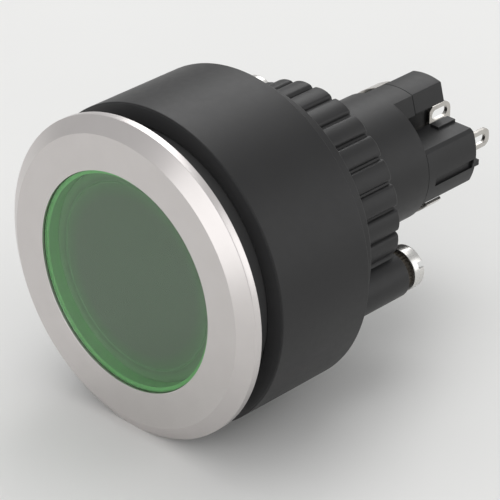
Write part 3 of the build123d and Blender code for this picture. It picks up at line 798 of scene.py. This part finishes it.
def knurl_outline():
    """Radius and angle of the knurl's outline: convex lobes parted by narrow flat-bottomed grooves."""
    pitch = 2 * pi / KNURL_COUNT
    lobe_circle = KNURL_RADIUS - KNURL_LOBE_RADIUS
    groove_half = KNURL_GROOVE_WIDTH / 2 / KNURL_GROOVE_RADIUS
    flat_half = groove_half * KNURL_FLAT_SHARE
    start = groove_half + SHOULDER_START
    outline = []
    for i in range(KNURL_COUNT):
        groove = radians(KNURL_GROOVE_ANGLE) + i * pitch
        outline += [(KNURL_GROOVE_RADIUS, groove + turn) for turn in (-flat_half, 0, flat_half)]
        for step in range(KNURL_LOBE_STEPS + 1):
            angle = start + (pitch - 2 * start) * step / KNURL_LOBE_STEPS
            off_middle = angle - pitch / 2
            chord = sqrt(KNURL_LOBE_RADIUS**2 - (lobe_circle * sin(off_middle)) ** 2)
            radius = lobe_circle * cos(off_middle) + chord
            from_groove = min(angle, pitch - angle) - groove_half
            if from_groove < SHOULDER_ANGLE:
                radius -= SHOULDER_DROP * (1 - from_groove / SHOULDER_ANGLE) ** 2
            outline.append((radius, groove + angle))
    return outline


def knurl():
    """The knurled part of the ring, from inside the flange to its rounded rear rim."""
    rim_front, rim_limit = KNURL_REAR - KNURL_RIM_ROUND, KNURL_RADIUS - KNURL_RIM_ROUND
    stations = [(FLANGE_REAR - OVERLAP, KNURL_RADIUS), (rim_front, KNURL_RADIUS)]
    for step in range(1, KNURL_RIM_STEPS + 1):
        turn = pi / 2 * step / KNURL_RIM_STEPS
        stations.append((rim_front + KNURL_RIM_ROUND * sin(turn), rim_limit + KNURL_RIM_ROUND * cos(turn)))
    outline = knurl_outline()
    shape = bmesh.new()
    sections = []
    for y, limit in stations:
        shrink = limit / KNURL_RADIUS
        sections.append([vertex(shape, r * shrink * cos(a), y, r * shrink * sin(a)) for r, a in outline])
    skin(shape, sections)
    return solid("knurled_ring", shape)


def add_boss(ring, angle):
    """Joins a screw boss to the ring, with the pocket of its insert and the hole of its screw."""
    centre = boss_centre(angle)
    boss = lathe("boss", rounded([
        (0, WASHER_REAR, 0),
        (BOSS_RADIUS, WASHER_REAR, 0),
        (BOSS_RADIUS, BOSS_REAR, 0.25),
        (0, BOSS_REAR, 0),
    ]), centre, BOSS_SEGMENTS)
    combine(ring, boss, "UNION")
    pocket = cylinder("pocket", INSERT_RADIUS, INSERT_FRONT, BOSS_REAR + CUT_MARGIN, centre, BOSS_SEGMENTS)
    combine(ring, pocket, "DIFFERENCE")
    hole = cylinder("screw_hole", SCREW_RADIUS + RUNNING_FIT, RING_FRONT - CUT_MARGIN,
                    INSERT_FRONT + CUT_MARGIN, centre, HOLE_SEGMENTS)
    combine(ring, hole, "DIFFERENCE")


def build_ring():
    """The knurled ring with its flange, bosses and stepped bore, joined into one shell."""
    ring = knurl()
    flange = lathe("flange", rounded([
        (0, RING_FRONT, 0),
        (FLANGE_RADIUS, RING_FRONT, 0.1),
        (FLANGE_RADIUS, FLANGE_REAR, 0.2),
        (0, FLANGE_REAR, 0),
    ]), segments=RING_SEGMENTS)
    combine(ring, flange, "UNION")
    for angle in BOSS_ANGLES:
        add_boss(ring, angle)
    bore = lathe("bore", [
        (0, RING_FRONT - CUT_MARGIN),
        (WASHER_RADIUS + RUNNING_FIT, RING_FRONT - CUT_MARGIN),
        (WASHER_RADIUS + RUNNING_FIT, WASHER_REAR),
        (TAIL_RADIUS + RUNNING_FIT, WASHER_REAR),
        (TAIL_RADIUS + RUNNING_FIT, KNURL_REAR + CUT_MARGIN),
        (0, KNURL_REAR + CUT_MARGIN),
    ], segments=RING_SEGMENTS)
    combine(ring, bore, "DIFFERENCE")
    dress(soften(ring), "mounting_ring")


# Thread inserts and clamp screws


def build_insert(number, centre):
    """Thread insert with a fine straight knurl."""
    outline = []
    for i in range(INSERT_TEETH * 2):
        radius = INSERT_RADIUS - (INSERT_TOOTH_DEPTH if i % 2 else 0)
        turn = pi * i / INSERT_TEETH
        outline.append((centre[0] + radius * cos(turn), centre[1] + radius * sin(turn)))
    insert = prism(f"knurled_insert_{number}", outline, INSERT_FRONT, INSERT_REAR)
    thread = cylinder("thread", SCREW_RADIUS + RUNNING_FIT, INSERT_FRONT - CUT_MARGIN,
                      INSERT_REAR + CUT_MARGIN, centre, HOLE_SEGMENTS)
    combine(insert, thread, "DIFFERENCE")
    dress(soften(insert, sharp_angle=10), f"thread_insert_{number}")


def build_screw(number, centre, slot_angle):
    """Slotted cheese-head screw."""
    screw = lathe(f"cheese_head_screw_{number}", rounded([
        (0, SCREW_TIP, 0),
        (SCREW_RADIUS, SCREW_TIP, 0.2),
        (SCREW_RADIUS, INSERT_REAR, 0),
        (SCREW_HEAD_RADIUS, INSERT_REAR, 0.08),
        (SCREW_HEAD_RADIUS, SCREW_END, 0.3),
        (0, SCREW_END, 0),
    ]), centre, BOSS_SEGMENTS)
    turn = radians(slot_angle)
    along = Vector((cos(turn), sin(turn))) * 2 * SCREW_HEAD_RADIUS
    across = Vector((-sin(turn), cos(turn))) * SCREW_SLOT_WIDTH / 2
    corners = [Vector(centre) + i * along + j * across for i, j in ((1, 1), (-1, 1), (-1, -1), (1, -1))]
    slot = prism("slot", corners, SCREW_END - SCREW_SLOT_DEPTH, SCREW_END + CUT_MARGIN)
    combine(screw, slot, "DIFFERENCE")
    dress(soften(screw), f"clamp_screw_{number}")


# Carrier, spine, switch elements, clips and tabs


def spine_outline():
    """Section of the spine: a thin web with a round-topped tower at each end, wider at its foot."""
    reach = degrees(atan2(TOWER_SHOULDER, TOWER_TOP_HALF_WIDTH))
    outline = []
    for turn in SIDES.values():
        half = arc((0, 0), CARRIER_RADIUS, reach, 180 - reach, steps=18)
        half += [(-TOWER_FOOT_HALF_WIDTH, TOWER_FOOT_HEIGHT), (-WEB_HALF_WIDTH, TOWER_ROOT_HEIGHT)]
        half += [(-WEB_HALF_WIDTH, -TOWER_ROOT_HEIGHT), (-TOWER_FOOT_HALF_WIDTH, -TOWER_FOOT_HEIGHT)]
        outline += [(turn * x, turn * z) for x, z in half]
    return outline


def build_spine():
    """Carrier tube with the front of the spine, and the terminal block behind the joint."""
    floor_front = CARRIER_REAR - CARRIER_FLOOR
    carrier = lathe("carrier_tube", rounded([
        (CARRIER_BORE_RADIUS, CARRIER_FRONT, 0.1),
        (CARRIER_RADIUS, CARRIER_FRONT, 0.1),
        (CARRIER_RADIUS, CARRIER_REAR, 0),
        (0, CARRIER_REAR, 0),
        (0, floor_front, 0),
        (CARRIER_BORE_RADIUS, floor_front, 0),
    ]))
    combine(carrier, prism("spine", spine_outline(), CARRIER_REAR - OVERLAP, TOWER_JOINT), "UNION")
    dress(soften(carrier), "switch_carrier")
    block = prism("spine_block", spine_outline(), TOWER_JOINT + JOINT_GAP, REAR_PLANE)
    dress(soften(block, bevel=0.12), "terminal_block")


def build_elements():
    """Housings of the two switch elements, each with a side groove, a latch nub and a top ridge."""
    top, bottom = (degrees(asin(height / CARRIER_RADIUS)) for height in (ELEMENT_TOP, ELEMENT_BOTTOM))
    outline = arc((0, 0), CARRIER_RADIUS, -bottom, top - ELEMENT_CHAMFER_ANGLE, steps=30)
    outline += [
        (CARRIER_RADIUS * cos(radians(top)) - ELEMENT_CHAMFER, ELEMENT_TOP),
        (ELEMENT_STEP_X, ELEMENT_TOP),
        (ELEMENT_STEP_X, ELEMENT_STEP_Z),
        (ELEMENT_INNER, ELEMENT_STEP_Z),
        (ELEMENT_INNER, -ELEMENT_BOTTOM),
    ]
    groove_x = sqrt(CARRIER_RADIUS**2 - SIDE_GROOVE_TOP**2) - SIDE_GROOVE_DEPTH
    half = LATCH_SIZE / 2
    groove_outline = rectangle(groove_x, groove_x + CUT_MARGIN, SIDE_GROOVE_BOTTOM, SIDE_GROOVE_TOP)
    latch_outline = rectangle(groove_x - half, groove_x + half, LATCH_Z - half, LATCH_Z + half)
    ridge_outline = rectangle(RIDGE_START, RIDGE_END, ELEMENT_TOP - OVERLAP, ELEMENT_TOP + RIDGE_HEIGHT)
    front = CARRIER_REAR + JOINT_GAP
    groove_front = CARRIER_REAR + SIDE_GROOVE_FRONT_MARGIN
    groove_rear = REAR_PLANE - SIDE_GROOVE_REAR_MARGIN
    for name, side in SIDES.items():
        housing = prism(f"element_housing_{name}", outline, front, REAR_PLANE, side)
        groove = prism("groove", groove_outline, groove_front, groove_rear, side)
        combine(housing, groove, "DIFFERENCE")
        latch = prism("latch", latch_outline, REAR_PLANE - OVERLAP, REAR_PLANE + LATCH_SIZE, side)
        combine(housing, latch, "UNION")
        ridge = prism("ridge", ridge_outline, REAR_PLANE - RIDGE_LENGTH, REAR_PLANE, side)
        combine(housing, ridge, "UNION")
        dress(soften(housing, bevel=0.08), f"switch_element_{name}")


def build_clips():
    """Bright spring clips in two opposite notches, each with a leg down a tower's side."""
    draft = (TOWER_FOOT_HALF_WIDTH - TOWER_TOP_HALF_WIDTH) / (TOWER_SHOULDER - TOWER_FOOT_HEIGHT)
    inner_radius = CLIP_RADIUS - CLIP_THICKNESS
    start, end = CLIP_START_ANGLE, CLIP_START_ANGLE + CLIP_SWEEP
    foot_z = inner_radius * sin(radians(start)) - CLIP_LEG_HEIGHT
    foot_x = TOWER_TOP_HALF_WIDTH + draft * (TOWER_SHOULDER - foot_z)
    outline = arc((0, 0), CLIP_RADIUS, start, end, steps=16)
    outline += arc((0, 0), inner_radius, end, start + CLIP_BEND_ANGLE, steps=16)
    outline += [(-foot_x - CLIP_THICKNESS, foot_z), (-foot_x, foot_z)]
    for number, side in enumerate(SIDES.values(), start=1):
        clip = prism(f"spring_clip_{number}", outline, CLIP_FRONT, CLIP_REAR, side)
        dress(soften(clip, bevel=0.06), f"carrier_clip_{number}")


def build_tab(name, outlines, x, side, node):
    """Solder tab that stands for the node."""
    dress(soften(plate(name, outlines, x, side), bevel=0.05, segments=2), node)


def build_element_tabs():
    """Solder tabs of the switch elements, with rounded corners and an oblong wire hole."""
    for name, side in SIDES.items():
        for kind, x, z, length, width in ELEMENT_TABS:
            end = REAR_PLANE + length
            edge = rounded([
                (REAR_PLANE - TAB_FOOT, z - width / 2, 0),
                (end, z - width / 2, TAB_CORNER),
                (end, z + width / 2, TAB_CORNER),
                (REAR_PLANE - TAB_FOOT, z + width / 2, 0),
            ])
            middle = (end - TAB_HOLE_MARGIN - TAB_HOLE_LENGTH / 2, z)
            hole = oblong(middle, TAB_HOLE_LENGTH, TAB_HOLE_WIDTH)
            build_tab(f"{kind}_tab_{name}", (edge, hole), x, side, f"{kind}_terminal_{name}")


def build_lamp_tabs():
    """Solder tabs of the lamp, against both sides of the web."""
    front = REAR_PLANE - LAMP_TAB_INSET
    leg_front, end = span("lamp_terminal_1")
    leg_top = LAMP_TAB_BOTTOM + LAMP_LEG_HEIGHT
    edge = rounded([
        (leg_front, LAMP_TAB_BOTTOM, 0),
        (end, LAMP_TAB_BOTTOM, 0.1),
        (end, LAMP_TAB_TOP, LAMP_TAB_ROUND),
        (front + LAMP_TAB_CHAMFER, LAMP_TAB_TOP, 0.1),
        (front, LAMP_TAB_TOP - LAMP_TAB_CHAMFER, 0.1),
        (front, leg_top, 0),
        (leg_front, leg_top, 0),
    ])
    hole_y = end - LAMP_TAB_HOLE_MARGIN - LAMP_TAB_HOLE_LENGTH / 2
    hole_z = LAMP_TAB_TOP - LAMP_TAB_HOLE_MARGIN - LAMP_TAB_HOLE_WIDTH / 2
    hole = oblong((hole_y, hole_z), LAMP_TAB_HOLE_LENGTH, LAMP_TAB_HOLE_WIDTH)
    x = WEB_HALF_WIDTH + TAB_THICKNESS / 2
    for number, side in enumerate(SIDES.values(), start=1):
        build_tab(f"lamp_tab_{number}", (edge, hole), x, side, f"lamp_terminal_{number}")


# Springs


def build_springs():
    """Copies of the springs, each on its body with a mesh of its own."""
    for joint in frame["joints"]:
        for spring in joint["deforming_nodes"]:
            node, fixed_end = spring["node"], spring["fixed_end_y_m"]
            coil = add_object(f"{node}_coil", nodes[node].data.copy())
            dress(coil, node)
            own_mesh(coil)


for node, thing in nodes.items():
    paint(thing, node)
build_bezel()
build_seal()
build_body()
build_drum()
build_lens()
build_sheet()
build_ring()
for number, angle in enumerate(BOSS_ANGLES, start=1):
    build_insert(number, boss_centre(angle))
    build_screw(number, boss_centre(angle), angle + SCREW_SLOT_ANGLE)
build_spine()
build_elements()
build_clips()
build_element_tabs()
build_lamp_tabs()
build_springs()


# Studio: pale floor, soft lights and the photograph's viewpoint. Its sizes are in metres.

FLOOR_HALF_SIZE = 6.0
FLOOR_LEVEL = -BEZEL_RADIUS * MM
WORLD_STRENGTH = 0.6
LIGHT_DISTANCE = 0.6
LIGHT_AIM = (0.0, 0.02, 0.0)

# Name, direction from the object, width and height, and power in watts
LIGHTS = (
    ("key_light", (0.30, -0.90, 0.35), (0.6, 0.5), 1.0),
    ("rear_right_light", (0.72, 0.62, 0.22), (0.30, 0.55), 0.7),
    ("rear_left_light", (-0.44, 0.62, 0.58), (0.26, 0.30), 0.65),
    ("top_light", (-0.15, 0.25, 1.0), (0.45, 0.45), 0.9),
)

# Camera worked out from the front ring's ellipses: sensor and lens in millimetres, and the place
# in millimetres from the middle of the ring's face
CAMERA_SENSOR = 36.0
CAMERA_FOCAL_LENGTH = 210.96
CAMERA_FROM_FACE = (213.35, -198.74, 167.44)
CAMERA_DIRECTION = (-0.60788, 0.62588, -0.48863)


def build_floor():
    """Plain pale floor under the clamp drum."""
    half = FLOOR_HALF_SIZE
    corners = [(x, y, FLOOR_LEVEL) for x, y in rectangle(-half, half, -half, half)]
    mesh = bpy.data.meshes.new("floor")
    mesh.from_pydata(corners, [], [(0, 1, 2, 3)])
    material, tree, shader, place = base_material("pale_floor")
    mottle(tree, shader, noise(tree, place, size=60.0), (0.80, 0.80, 0.79), (0.82, 0.82, 0.81))
    shader.inputs["Roughness"].default_value = 0.8
    shader.inputs["Specular IOR Level"].default_value = 0.2
    mesh.materials.append(material)
    floor = add_object("floor", mesh)


def build_light(name, direction, size, power):
    """Rectangular soft light that shines on the object from that direction."""
    lamp = bpy.data.lights.new(name, "AREA")
    lamp.shape = "RECTANGLE"
    lamp.size, lamp.size_y = size
    lamp.energy = power
    holder = add_object(name, lamp)
    away = Vector(direction).normalized()
    holder.location = Vector(LIGHT_AIM) + away * LIGHT_DISTANCE
    holder.rotation_euler = (-away).to_track_quat("-Z", "Y").to_euler()


def build_world():
    """Even white surroundings."""
    world = bpy.data.worlds.new("studio")
    bpy.context.scene.world = world
    world.use_nodes = True
    background = world.node_tree.nodes["Background"]
    background.inputs["Color"].default_value = (1, 1, 1, 1)
    background.inputs["Strength"].default_value = WORLD_STRENGTH


def build_camera():
    """Camera at the photograph's viewpoint."""
    lens = bpy.data.cameras.new("camera")
    lens.sensor_width = CAMERA_SENSOR
    lens.lens = CAMERA_FOCAL_LENGTH
    lens.clip_start = 0.01
    camera = add_object("camera", lens)
    camera.location = (Vector(CAMERA_FROM_FACE) + Vector((0, BEZEL_FRONT, 0))) * MM
    camera.rotation_euler = Vector(CAMERA_DIRECTION).to_track_quat("-Z", "Y").to_euler()
    bpy.context.scene.camera = camera


build_floor()
build_world()
for light in LIGHTS:
    build_light(*light)
build_camera()
bpy.context.scene.view_settings.view_transform = "Standard"
